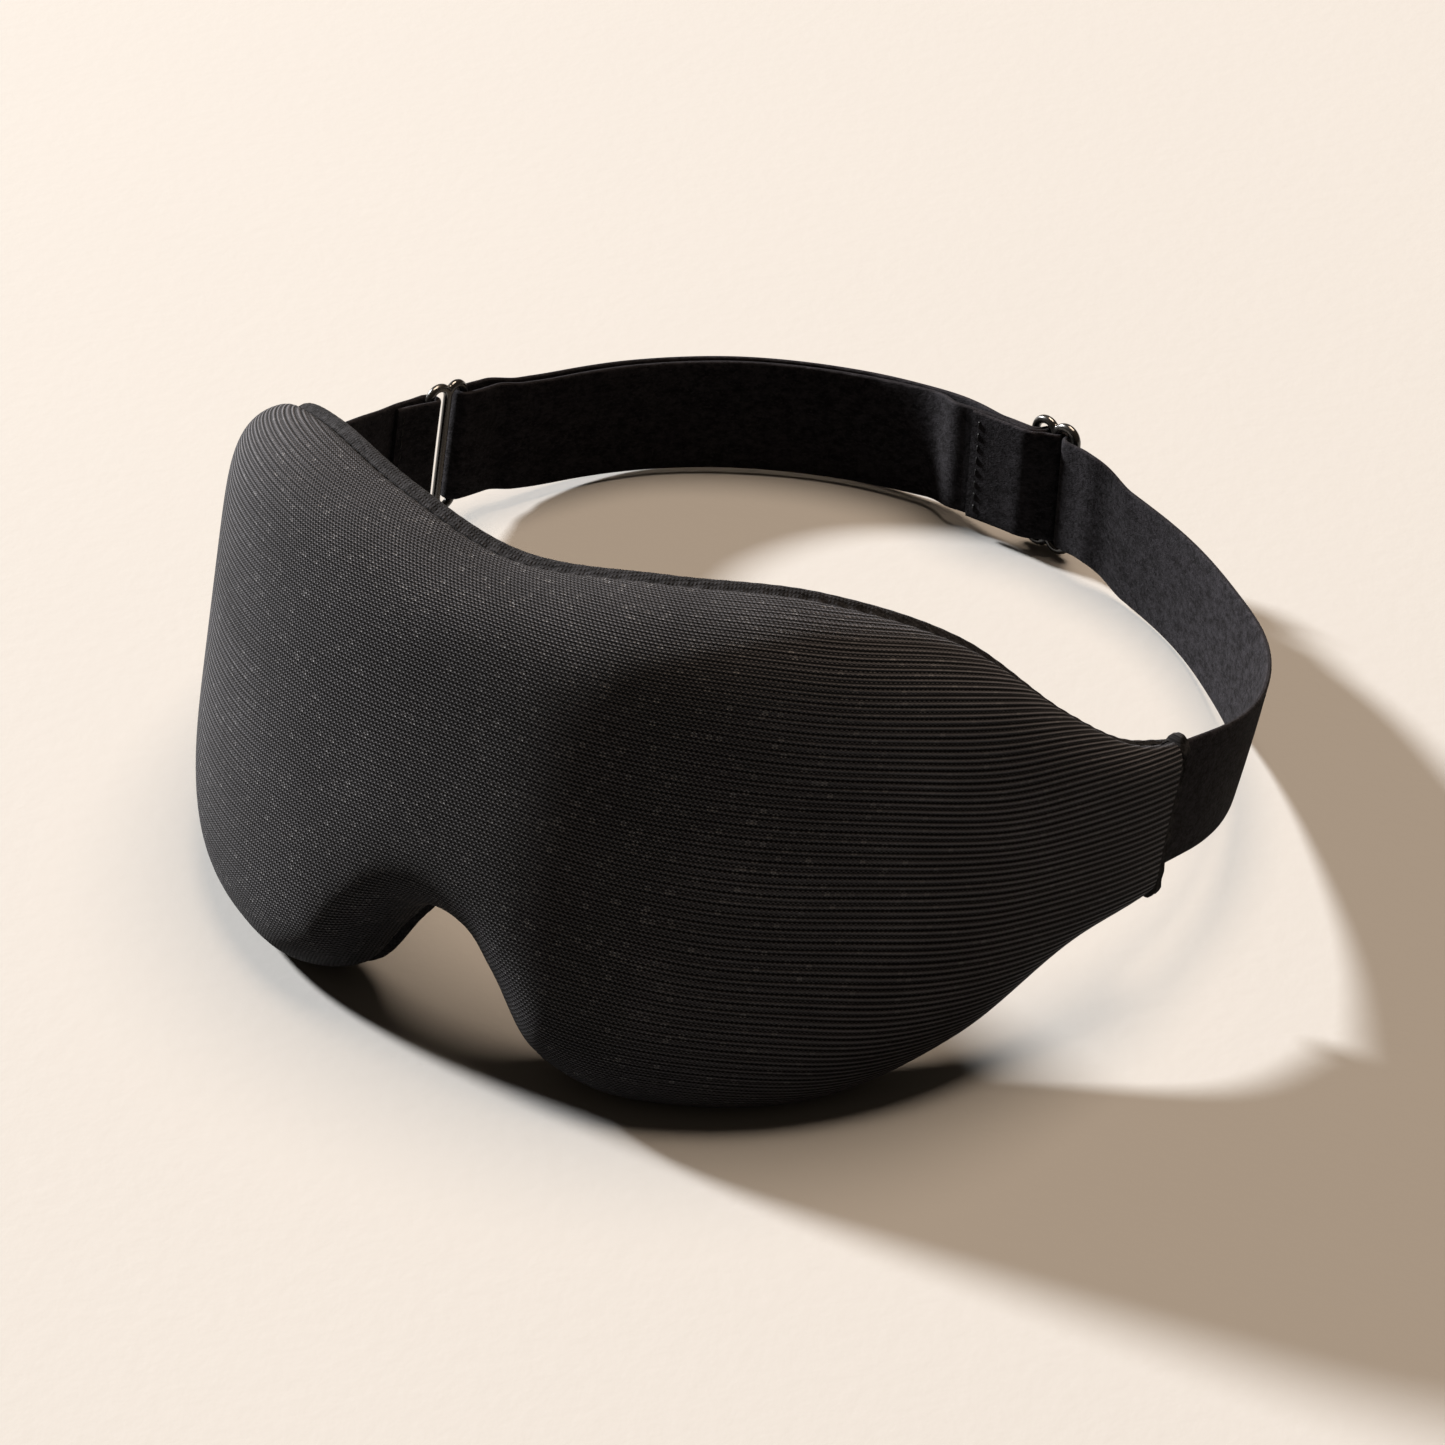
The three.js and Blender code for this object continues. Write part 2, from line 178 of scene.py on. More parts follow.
def from_eye(u, v):
    """Square of the distance from the middle of the nearer eye cup, 1 at its edge."""
    return ((np.abs(u) - EYE_U) / EYE_WIDE) ** 2 + ((v - EYE_V) / EYE_TALL) ** 2


def eyes(u, v):
    """Depth of the eye cups."""
    r = from_eye(u, v)
    return np.where(r < 1, EYE_DEEP * np.maximum(1 - r, 0) ** 2, 0)


def cup_line(u, v):
    """1 on the pressed line round each eye cup, falling to 0 beside it."""
    beside = (np.sqrt(from_eye(u, v)) - CUP_LINE_AT) * (EYE_WIDE + EYE_TALL) / 2
    return np.exp(-((beside / CUP_LINE_WIDE) ** 2))


def world(points):
    """Head-frame points in millimetres to the object's own frame in metres."""
    x, y, z = np.moveaxis(np.asarray(points, float), -1, 0)
    c, s = math.cos(PITCH), math.sin(PITCH)
    return np.stack([x + CENTRE[0], y * c + z * s + CENTRE[1], -y * s + z * c + LIFT], -1) * MM


def rest(points, above):
    """The pad flattens where it meets the floor: its points stay this far above it."""
    below = np.maximum(0, points[..., 1] * math.sin(PITCH) - points[..., 2] * math.cos(PITCH)
                       - LIFT + above)
    return points + below[..., None] * np.array([0, -math.sin(PITCH), math.cos(PITCH)])


# ---- meshes ----
def build(name, points, faces, material, weave=None, sharp=50):
    """A mesh object from points in metres. weave is each point's place on the cloth."""
    me = bpy.data.meshes.new(name)
    me.from_pydata([tuple(p) for p in points], [], faces)
    me.validate()
    if weave is not None:
        me.attributes.new("weave", "FLOAT_VECTOR", "POINT").data.foreach_set(
            "vector", np.asarray(weave, np.float32).ravel())
    bm = bmesh.new()
    bm.from_mesh(me)
    bmesh.ops.recalc_face_normals(bm, faces=bm.faces)
    bm.to_mesh(me)
    bm.free()
    me.shade_smooth()
    me.set_sharp_from_angle(angle=math.radians(sharp))
    me.materials.append(material)
    o = bpy.data.objects.new(name, me)
    bpy.context.scene.collection.objects.link(o)
    return o


def grid_faces(n, m, first=0):
    i, j = np.meshgrid(np.arange(n - 1), np.arange(m - 1), indexing="ij")
    a = (first + i * m + j).ravel()
    return [(int(k), int(k + m), int(k + m + 1), int(k + 1)) for k in a]


def tube_faces(n, sides, cyclic=False):
    """The skin over n rings of points, closed at its two ends unless it is cyclic."""
    faces = []
    for i in range(n if cyclic else n - 1):
        a, b = i * sides, (i + 1) % n * sides
        faces += [(a + k, a + (k + 1) % sides, b + (k + 1) % sides, b + k) for k in range(sides)]
    if not cyclic:
        faces += [tuple(range(sides))[::-1], tuple(range((n - 1) * sides, n * sides))]
    return faces


def run_along(points, axis=0):
    """Distance from the first point along the line of points."""
    step = np.linalg.norm(np.diff(points, axis=axis), axis=-1)
    return np.concatenate([np.zeros_like(step.take([0], axis)), np.cumsum(step, axis=axis)], axis)


def tube(path, radii, sides, cyclic=False, up=(0, 0, 1)):
    """Points and faces of a round tube; a single radius or one for each point."""
    path = np.asarray(path, float)
    radii = np.broadcast_to(radii, len(path))
    if cyclic:
        tangent = np.roll(path, -1, 0) - np.roll(path, 1, 0)
    else:
        tangent = np.gradient(path, axis=0)
    tangent /= np.linalg.norm(tangent, axis=1)[:, None]
    side = np.cross(tangent, up)
    side /= np.linalg.norm(side, axis=1)[:, None]
    other = np.cross(side, tangent)
    turn = np.linspace(0, 2 * math.pi, sides, endpoint=False)
    ring = (side[:, None] * np.cos(turn)[:, None] + other[:, None] * np.sin(turn)[:, None])
    points = (path[:, None] + ring * radii[:, None, None]).reshape(-1, 3)
    return points, tube_faces(len(path), sides, cyclic)


def joined(parts):
    """Several meshes as one set of points and faces."""
    points, faces, first = [], [], 0
    for p, f in parts:
        points.append(p)
        faces += [tuple(k + first for k in face) for face in f]
        first += len(p)
    return np.concatenate(points), faces


# ---- materials ----
def shader(name, colour, roughness, **sockets):
    m = bpy.data.materials.new(name)
    m.use_nodes = True
    s = m.node_tree.nodes["Principled BSDF"]
    s.inputs["Base Color"].default_value = (*colour, 1)
    s.inputs["Roughness"].default_value = roughness
    for key, value in sockets.items():
        s.inputs[key.replace("_", " ")].default_value = value
    return m, m.node_tree, s


class Nodes:
    """Short calls for the nodes that the fabrics share."""

    def __init__(self, tree):
        self.t = tree

    def put(self, kind, inputs, out=0, **settings):
        n = self.t.nodes.new(kind)
        for key, value in settings.items():
            setattr(n, key, value)
        for key, value in inputs.items():
            if hasattr(value, "is_output"):
                self.t.links.new(value, n.inputs[key])
            else:
                n.inputs[key].default_value = value
        return n.outputs[out]

    def do(self, op, a, b=0.0, c=0.0):
        return self.put("ShaderNodeMath", {0: a, 1: b, 2: c}, operation=op)

    def wave(self, x, pitch):
        turned = self.do("MULTIPLY", x, 2 * math.pi / pitch)
        return self.do("MULTIPLY_ADD", self.do("COSINE", turned), 0.5, 0.5)

    def noise(self, vector, scale, detail=2.0, rough=0.5, stretch=(1, 1, 1)):
        v = self.put("ShaderNodeVectorMath", {0: vector, 1: stretch}, operation="MULTIPLY")
        return self.put("ShaderNodeTexNoise", {"Vector": v, "Scale": scale, "Detail": detail,
                                               "Roughness": rough})

    def ramp(self, x, low, high, a=0.0, b=1.0):
        return self.put("ShaderNodeMapRange", {"Value": x, "From Min": low, "From Max": high,
                                               "To Min": a, "To Max": b})

    def colours(self, x, a, b):
        """From colour a to colour b as x goes from 0 to 1; either may be a socket."""
        n = self.t.nodes.new("ShaderNodeMix")
        n.data_type = "RGBA"
        self.t.links.new(x, n.inputs[0])
        for k, value in ((6, a), (7, b)):
            if hasattr(value, "is_output"):
                self.t.links.new(value, n.inputs[k])
            else:
                n.inputs[k].default_value = (*value, 1)
        return n.outputs[2]

    def bump(self, height, distance, strength=1.0, below=None):
        inputs = {"Height": height, "Distance": distance, "Strength": strength}
        if below is not None:
            inputs["Normal"] = below
        return self.put("ShaderNodeBump", inputs)


def weave_parts(n):
    """The weave attribute, then its three parts: along the cloth, across it, and from its rim."""
    w = n.put("ShaderNodeAttribute", {}, out=1, attribute_name="weave")
    s = n.t.nodes.new("ShaderNodeSeparateXYZ")
    n.t.links.new(w, s.inputs[0])
    return w, s.outputs[0], s.outputs[1], s.outputs[2]


RIB, CHECK = 1.12, 0.7      # pitch of the twill's ribs and of its fine checks
CHECKS_END, RIBS_START = 50, 88     # the checks thin out between these places along the pad


def twill():
    """Charcoal jersey: fine ribs towards the tabs, small staggered checks round the nose."""
    m, tree, s = shader("twill_jersey", (0.005, 0.005, 0.0055), 0.6, Sheen_Weight=0.006,
                        Sheen_Roughness=0.35, Specular_IOR_Level=0.045)
    n = Nodes(tree)
    w, u, v, rim = weave_parts(n)
    sway = n.noise(w, 0.02, 1)
    v2 = n.do("MULTIPLY_ADD", sway, 3.0, v)
    rib = n.wave(v2, RIB)
    row = n.do("FLOOR", n.do("DIVIDE", v2, CHECK))
    u2 = n.do("MULTIPLY_ADD", row, CHECK / 2, u)
    check = n.do("MULTIPLY", n.wave(v2, CHECK), n.wave(u2, CHECK))
    # the checks take over from the ribs towards the middle of the pad
    along = n.do("ABSOLUTE", u)
    share = n.ramp(n.do("MULTIPLY_ADD", sway, 30, along), CHECKS_END, RIBS_START, 0.92, 0.25)
    cell = n.put("ShaderNodeCombineXYZ", {0: n.do("FLOOR", n.do("DIVIDE", u2, CHECK)), 1: row})
    fleck = n.put("ShaderNodeTexWhiteNoise", {"Vector": cell}, noise_dimensions="2D")
    mottled = n.noise(w, 0.05, 3, 0.6)
    fuzz = n.noise(w, 2.6, 3, 0.75)
    woven = n.do("ADD", n.do("MULTIPLY", check, share),
                 n.do("MULTIPLY", n.do("POWER", rib, 2.0), n.do("SUBTRACT", 1.0, share)))
    # the cloth turns in at the seam and is fuzzy just before it; its colour is darkened there as
    # painted shade in the seam's groove
    edge = n.ramp(rim, 0.9, 2.4, 0.7, 0.0)
    height = n.do("ADD", n.do("MULTIPLY", woven, n.do("SUBTRACT", 1.0, edge)),
                  n.do("MULTIPLY", n.ramp(fuzz, 0.45, 0.7, 0.0, 0.9), edge))
    # painted glints: rare flecks get a lighter colour that stands in for fibres catching the light;
    # the same mask also makes them glossier
    fleck_gloss_and_painted_glint = n.do("MULTIPLY", n.do("POWER", fleck, 22.0), n.do("MULTIPLY", height, share))
    base = n.do("MULTIPLY", height, n.do("MULTIPLY_ADD", fuzz, 0.9, 0.5))
    shade = n.do("MULTIPLY", base, n.ramp(mottled, 0.3, 0.7, 0.8, 1.15))
    # painted shade: the colour falls to 0.08 of itself towards the seam, where the cloth turns in
    shade = n.do("MULTIPLY", shade, n.ramp(rim, 0.35, 1.0, 0.08, 1.0))
    dark = n.colours(shade, (0.0002, 0.0002, 0.0003), (0.067, 0.067, 0.0745))
    # the painted glints lift those flecks towards a pale grey
    colour_with_painted_glints = n.colours(fleck_gloss_and_painted_glint, dark, (0.16, 0.16, 0.165))
    tree.links.new(colour_with_painted_glints, s.inputs["Base Color"])
    rough = n.ramp(height, 0, 1, 0.85, 0.5)
    tree.links.new(n.do("MULTIPLY_ADD", fleck_gloss_and_painted_glint, -0.2, rough), s.inputs["Roughness"])
    coarse = n.bump(n.noise(w, 0.16, 2), 0.4 * MM, 0.3)
    tall = n.do("MULTIPLY_ADD", n.do("MULTIPLY", fleck, height), 0.4, height)
    fine = n.bump(n.do("MULTIPLY_ADD", fuzz, 0.3, tall), 0.35 * MM, 0.9, coarse)
    tree.links.new(fine, s.inputs["Normal"])
    return m


def brushed(name, low, high, sheen, nap, grain=0.0):
    """Napped cloth between two colours, with a nap so many millimetres deep. grain is the pitch
    of a knit that shows through it."""
    m, tree, s = shader(name, low, 0.9, Sheen_Weight=sheen, Sheen_Roughness=0.45,
                        Specular_IOR_Level=0.03)
    n = Nodes(tree)
    w, u, v, edge = weave_parts(n)
    soft = n.noise(w, 0.4, 3, 0.6)
    fine = n.noise(w, 1.0, 3, 0.75)
    hair = n.noise(w, 5.0, 2, 0.6, (0.4, 1, 1))
    both = n.do("ADD", n.do("MULTIPLY", soft, 0.45), n.do("MULTIPLY", fine, 0.55))
    shade = n.ramp(both, 0.4, 0.62)
    speck = n.ramp(n.noise(w, 1.3, 2, 0.6, (1, 1, 1.3)), 0.58, 0.7, 0.0, 0.9)
    height = n.do("ADD", n.do("MULTIPLY", fine, 0.7), n.do("MULTIPLY", hair, 0.3))
    if grain:
        rib = n.wave(v, grain)
        knit = n.do("MULTIPLY", rib, n.wave(u, grain * 0.8))
        height = n.do("ADD", height, n.do("MULTIPLY", knit, 0.4))
        shade = n.do("MULTIPLY", shade, n.ramp(knit, 0, 1, 0.75, 1.1))
    worn = n.ramp(edge, 0.0, 0.9, 0.45, 0.0)
    shade = n.do("ADD", shade, n.do("MULTIPLY", worn, hair))
    shade = n.do("ADD", shade, speck)
    tree.links.new(n.colours(shade, low, high), s.inputs["Base Color"])
    tree.links.new(n.ramp(fine, 0.3, 0.7, 0.97, 0.82), s.inputs["Roughness"])
    tree.links.new(n.bump(height, nap * MM, 0.8), s.inputs["Normal"])
    return m


def thread_cloth():
    """Twisted sewing thread."""
    m, tree, s = shader("sewing_thread", (0.004, 0.004, 0.0045), 0.6, Specular_IOR_Level=0.1)
    n = Nodes(tree)
    place = n.put("ShaderNodeTexCoord", {}, out=3)
    twist = n.put("ShaderNodeTexWave", {"Vector": place, "Scale": 900.0, "Distortion": 1.0},
                  out=1)
    tree.links.new(n.colours(twist, (0.0015, 0.0015, 0.0017), (0.009, 0.009, 0.0098)),
                   s.inputs["Base Color"])
    tree.links.new(n.bump(twist, 0.08 * MM, 0.7), s.inputs["Normal"])
    return m


def gloss_black():
    """The enamelled wire of the ring and the slider, lightly scuffed."""
    m, tree, s = shader("gloss_black", (0.008, 0.008, 0.008), 0.2, Coat_Weight=0.4,
                        Coat_Roughness=0.12)
    n = Nodes(tree)
    place = n.put("ShaderNodeTexCoord", {}, out=3)
    scuff = n.noise(place, 420, 4, 0.7, (1, 1, 0.25))
    flow = n.noise(place, 90, 2)
    tree.links.new(n.ramp(scuff, 0.35, 0.75, 0.14, 0.38), s.inputs["Roughness"])
    tree.links.new(n.colours(n.ramp(scuff, 0.6, 0.8), (0.007, 0.0065, 0.006), (0.02, 0.018, 0.016)),
                   s.inputs["Base Color"])
    tree.links.new(n.bump(flow, 0.12 * MM, 0.3), s.inputs["Normal"])
    return m


def foam_cells():
    """Open foam, all but hidden between the cover and the lining."""
    m, tree, s = shader("foam", (0.05, 0.05, 0.052), 1.0)
    n = Nodes(tree)
    place = n.put("ShaderNodeTexCoord", {}, out=3)
    cells = n.put("ShaderNodeTexVoronoi", {"Vector": place, "Scale": 1400.0})
    tree.links.new(n.colours(cells, (0.02, 0.02, 0.021), (0.08, 0.08, 0.083)),
                   s.inputs["Base Color"])
    tree.links.new(n.bump(cells, 0.2 * MM, 0.8), s.inputs["Normal"])
    return m


def paper():
    """The pale floor."""
    m, tree, s = shader("paper_floor", (0.2, 0.19, 0.18), 0.85, Specular_IOR_Level=0.2)
    n = Nodes(tree)
    place = n.put("ShaderNodeTexCoord", {}, out=3)
    tooth = n.noise(place, 260, 4, 0.6)
    tree.links.new(n.colours(n.noise(place, 6, 3), (0.181, 0.181, 0.178), (0.188, 0.187, 0.183)),
                   s.inputs["Base Color"])
    tree.links.new(n.bump(tooth, 0.25 * MM, 0.25), s.inputs["Normal"])
    return m


COVER = twill()
LINING = brushed("brushed_lining", (0.0032, 0.0032, 0.0035), (0.0135, 0.0135, 0.015),
                 sheen=0.01, nap=0.4, grain=0.8)
WEBBING = brushed("brushed_webbing", (0.0026, 0.0024, 0.0029), (0.0115, 0.0109, 0.0129),
                  sheen=0.008, nap=0.55)
WELT = brushed("welt_cloth", (0.0006, 0.0006, 0.0007), (0.0155, 0.0152, 0.016),
               sheen=0.01, nap=0.5)
THREADS = thread_cloth()
GLOSS = gloss_black()
FOAM = foam_cells()

# ---- camera ----
# in front of the wearer and to their left, looking down; angles in radians, place in metres
AZIMUTH, ELEVATION, ROLL = 0.5973, 0.6199, -0.0133
CAMERA_AT = (0.3441, -0.5114, 0.4479)
SENSOR, LENS = 36, 103.3
cam_data = bpy.data.cameras.new("camera")
cam_data.sensor_width, cam_data.lens = SENSOR, LENS
cam_data.clip_start, cam_data.clip_end = 0.05, 20
camera = bpy.data.objects.new("camera", cam_data)
bpy.context.scene.collection.objects.link(camera)
look = Vector((-math.sin(AZIMUTH) * math.cos(ELEVATION), math.cos(AZIMUTH) * math.cos(ELEVATION),
               -math.sin(ELEVATION)))
level = Vector((math.cos(AZIMUTH), math.sin(AZIMUTH), 0))
rise = level.cross(look)
right = level * math.cos(ROLL) + rise * math.sin(ROLL)
upward = -level * math.sin(ROLL) + rise * math.cos(ROLL)
turned = Matrix((right, upward, -look)).transposed().to_4x4()
camera.matrix_world = Matrix.Translation(CAMERA_AT) @ turned
bpy.context.scene.camera = camera

# ---- the pad ----
# rows across the pad, closest together at its rims: share of the half width from the rim
RIM_ROWS = np.array([0, 0.006, 0.013, 0.02, 0.028, 0.038, 0.05, 0.066, 0.085, 0.11, 0.14])
ROWS = np.concatenate([-1 + RIM_ROWS, np.linspace(-0.825, 0.825, 50), (1 - RIM_ROWS)[::-1]])
ACROSS = np.linspace(-1, 1, 421)
STITCH = 3.1                # length of the seam's stitches
TUCK, TUCK_REACH = 1.0, 0.95        # how far the seam pulls the cloth in, and how far from it
PUCKER = 0.1                # how much that varies from stitch to stitch
SWELL, SWELL_AT, SWELL_WIDE = 1.0, 2.5, 1.5     # the lining's padded rim behind the seam


def layer(q0, y0, inset, depth, short=0.0, tuck=0.0):
    """Points of one face of the pad, with the place of each on the weave. The face is inset from
    the outline and short of the tabs, and tuck is 1 in front of the sewn seam and -1 behind it."""
    q, y = np.meshgrid(q0 * (1 - inset / HALF - short / HALF), y0, indexing="ij")
    wide = np.sin(np.pi / 2 * y)
    half = column(q)[4] / 2
    edge = np.sqrt(np.maximum(0, 1 - np.abs(wide) ** FULLNESS))
    plain = flat(q, wide * (1 - inset / half))
    d = depth(plain[..., 0], plain[..., 1], edge)
    pulled = 0
    if tuck:
        rims = [run_along(on_pad(plain[:, k, 0], plain[:, k, 1], 0)) for k in (0, -1)]
        run = np.where(wide < 0, rims[0][:, None], rims[1][:, None])
        away = np.abs(d + (0 if tuck > 0 else GAP))
        pucker = 1 + PUCKER * np.cos(2 * np.pi * run / STITCH)
        # weaker in the last part of the tabs, where the welts hold the cloth
        ends = np.clip((1 - np.abs(q)) / 0.02, 0, 1)
        pulled = TUCK * pucker * np.exp(-((away / TUCK_REACH) ** 1.5)) * (0.35 + 0.65 * ends)
        pulled += 0.5 * (pucker - 1) * np.exp(-away / 2.0) * ends
        if tuck < 0:
            pulled -= SWELL * np.exp(-(((away - SWELL_AT) / SWELL_WIDE) ** 2)) * ends
    spot = flat(q, wide * (1 - (inset + pulled) / half))
    points = rest(on_pad(spot[..., 0], spot[..., 1], d), inset)
    reach = run_along(points, axis=1)
    rim = np.minimum(reach, reach[:, -1:] - reach)
    # the cloth's own height: v on the face, carried on round the rim
    full = depth(plain[..., 0], plain[..., 1], np.ones_like(edge))
    height = plain[..., 1] + np.sign(wide) * np.abs(full - d)
    return points, np.stack([plain[..., 0], height, rim], -1)


def pad(name, outer, inner, rows, inner_rows, across, material):
    """A closed pad layer: a fine outer face, a plainer inner one and the band between them."""
    a, wa = layer(across, rows, **outer)
    b, wb = layer(across, inner_rows, **inner)
    n, m, k = len(across), len(rows), len(inner_rows)
    faces = grid_faces(n, m) + [f[::-1] for f in grid_faces(n, k, n * m)]
    first = n * m
    for i in range(n - 1):
        for j, jj in ((0, 0), (m - 1, k - 1)):
            faces.append((i * m + j, (i + 1) * m + j, first + (i + 1) * k + jj, first + i * k + jj))
    for i in (0, n - 1):
        faces.append(tuple(i * m + j for j in range(m))
                     + tuple(first + i * k + j for j in range(k))[::-1])
    points = np.concatenate([a.reshape(-1, 3), b.reshape(-1, 3)])
    weave = np.concatenate([wa.reshape(-1, 3), wb.reshape(-1, 3)])
    return build(name, world(points), faces, material, weave, 60)


def front_at(u):
    return through(FRONT_ALL, u)


def back_at(u):
    return through(BACK_ALL, u)


INNER_ROWS = np.array([-1, -0.9, -0.75, -0.5, -0.25, 0, 0.25, 0.5, 0.75, 0.9, 1])
cover = pad("front_cover_cloth",
            dict(inset=0, depth=lambda u, v, e: front_at(u) * e, tuck=1),
            dict(inset=SHELL, depth=lambda u, v, e: (front_at(u) - SHELL) * e),
            ROWS, INNER_ROWS, ACROSS, COVER)
lining = pad("face_lining_cloth",
             dict(inset=0, depth=lambda u, v, e: -GAP - (back_at(u) - GAP) * e + eyes(u, v)
                  + CUP_LINE_PROUD * cup_line(u, v) * e, tuck=-1),
             dict(inset=SHELL, depth=lambda u, v, e: -GAP - (back_at(u) - GAP - SHELL) * e
                  + eyes(u, v)),
             ROWS, np.linspace(-1, 1, 33), ACROSS, LINING)
# the foam keeps clear of both shells, its rim is a thin band, and it ends short of the tabs
CLEAR, FOAM_RIM, FOAM_SHORT = SHELL + 0.6, 0.6, 12
FOAM_BEHIND, FOAM_CUPS = CLEAR + 1.8, 1.04
foam = pad("foam_core_block",
           dict(inset=CLEAR, short=FOAM_SHORT, depth=lambda u, v, e: FOAM_RIM
                + (front_at(u) - CLEAR - FOAM_RIM) * e),
           dict(inset=CLEAR, short=FOAM_SHORT, depth=lambda u, v, e: -FOAM_RIM
                - (back_at(u) - FOAM_BEHIND) * e + FOAM_CUPS * eyes(u, v)),
           np.linspace(-1, 1, 37), np.linspace(-1, 1, 37), np.linspace(-1, 1, 141), FOAM)
# each padded piece, the CAD node it stands for, its material slot, and how full it is
for piece, node, slot, fill in ((cover, "front_cover", "cover_fabric", 0.9),
                                (lining, "face_lining", "lining_fabric", 0.7),
                                (foam, "foam_core", "foam", 1.0)):
    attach(piece, "mask")
    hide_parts(node)


# ---- the strap ----
def loop_at(deg, out=0.0):
    """The plan point at deg round the loop, out beyond its middle line."""
    r, a = through(LOOP, deg) + out, np.radians(deg)
    return np.stack([LOOP_CENTRE[0] + r * np.cos(a), LOOP_CENTRE[1] + r * np.sin(a)], -1)


def degrees_of(p):
    """The inverse of loop_at: degrees round the loop of plan points."""
    d = np.degrees(np.arctan2(p[..., 1] - LOOP_CENTRE[1], p[..., 0] - LOOP_CENTRE[0]))
    return np.where(d < -90, d + 360, d)


class Buckle:
    """The local frame of a buckle: t runs round the loop to the wearer's left, r outwards."""

    def __init__(self, at):
        a, b = loop_at(at + 1), loop_at(at - 1)
        self.s = loop_at(at)
        self.dir = (b - a) / np.linalg.norm(b - a)
        self.out = np.array([-self.dir[1], self.dir[0]])
        self.lean = math.radians(float(through(LOOP, at, 3)))
        self.z = float(through(LOOP, at, 2))

    def spot(self, t, r):
        t, r = np.asarray(t, float), np.asarray(r, float)
        return self.s + t[..., None] * self.dir + r[..., None] * self.out


ring_frame, slider_frame = Buckle(RING_AT), Buckle(SLIDER_AT)
SWING = slider_frame.spot(0, -SWING_RADIUS)


def bent(points):
    """Bends the slider's straight local points round the centre that it swings about."""
    p = np.asarray(points, float)
    a, k = p[:, 0] / SWING_RADIUS, SWING_RADIUS + p[:, 1]
    return SWING + k[:, None] * (np.sin(a)[:, None] * slider_frame.dir
                                 + np.cos(a)[:, None] * slider_frame.out)


def arc(t, r, radius, start, end, n):
    """Points of an arc about (t, r), from start to end in degrees."""
    a = np.radians(np.linspace(start, end, n + 1))
    return np.stack([t + radius * np.cos(a), r + radius * np.sin(a)], -1).tolist()


def smooth_path(points, step):
    """A centripetal curve through the points, cut to equal steps."""
    p = np.asarray(points, float)
    p = np.concatenate([[2 * p[0] - p[1]], p, [2 * p[-1] - p[-2]]])
    line = []
    for i in range(1, len(p) - 2):
        p0, p1, p2, p3 = p[i - 1:i + 3]
        t0 = 0.0
        t1, t2, t3 = np.cumsum([max(np.linalg.norm(b - a), 1e-6) ** 0.5
                                for a, b in ((p0, p1), (p1, p2), (p2, p3))])
        t = np.linspace(t1, t2, 25)[:, None]
        a1 = (t1 - t) / (t1 - t0) * p0 + (t - t0) / (t1 - t0) * p1
        a2 = (t2 - t) / (t2 - t1) * p1 + (t - t1) / (t2 - t1) * p2
        a3 = (t3 - t) / (t3 - t2) * p2 + (t - t2) / (t3 - t2) * p3
        b1 = (t2 - t) / (t2 - t0) * a1 + (t - t0) / (t2 - t0) * a2
        b2 = (t3 - t) / (t3 - t1) * a2 + (t - t1) / (t3 - t1) * a3
        line.append(((t2 - t) / (t2 - t1) * b1 + (t - t1) / (t2 - t1) * b2)[:-1])
    line = np.concatenate([*line, p[-2][None]])
    s = run_along(line)
    at = np.linspace(0, s[-1], max(6, int(math.ceil(s[-1] / step))) + 1)
    return np.stack([np.interp(at, s, line[:, k]) for k in (0, 1)], -1), at


def section():
    """Outline of the webbing: offset through it and height, with rounded edges."""
    r, h = STRAP_THICK / 2, STRAP_WIDE / 2
    face = np.linspace(-(h - r), h - r, 15)
    cap = np.radians(np.linspace(0, 180, 7)[1:-1])
    pts = [(r, y) for y in face]
    pts += [(r * math.cos(a), h - r + r * math.sin(a)) for a in cap]
    pts += [(-r, y) for y in face[::-1]]
    pts += [(-r * math.cos(a), -(h - r) - r * math.sin(a)) for a in cap]
    return np.array(pts)


SECTION = section()
# ripple of the webbing's edges: how deep, how many round the loop, and where it dies out
FLUTTER, FLUTTERS, FLUTTER_FADE = 0.16, 14, 12
FACE_APART = 40                     # sets the weave of the two faces apart


def ease(x):
    """0 to 1 with a soft start and a soft end."""
    x = np.clip(x, 0, 1)
    return x * x * (3 - 2 * x)


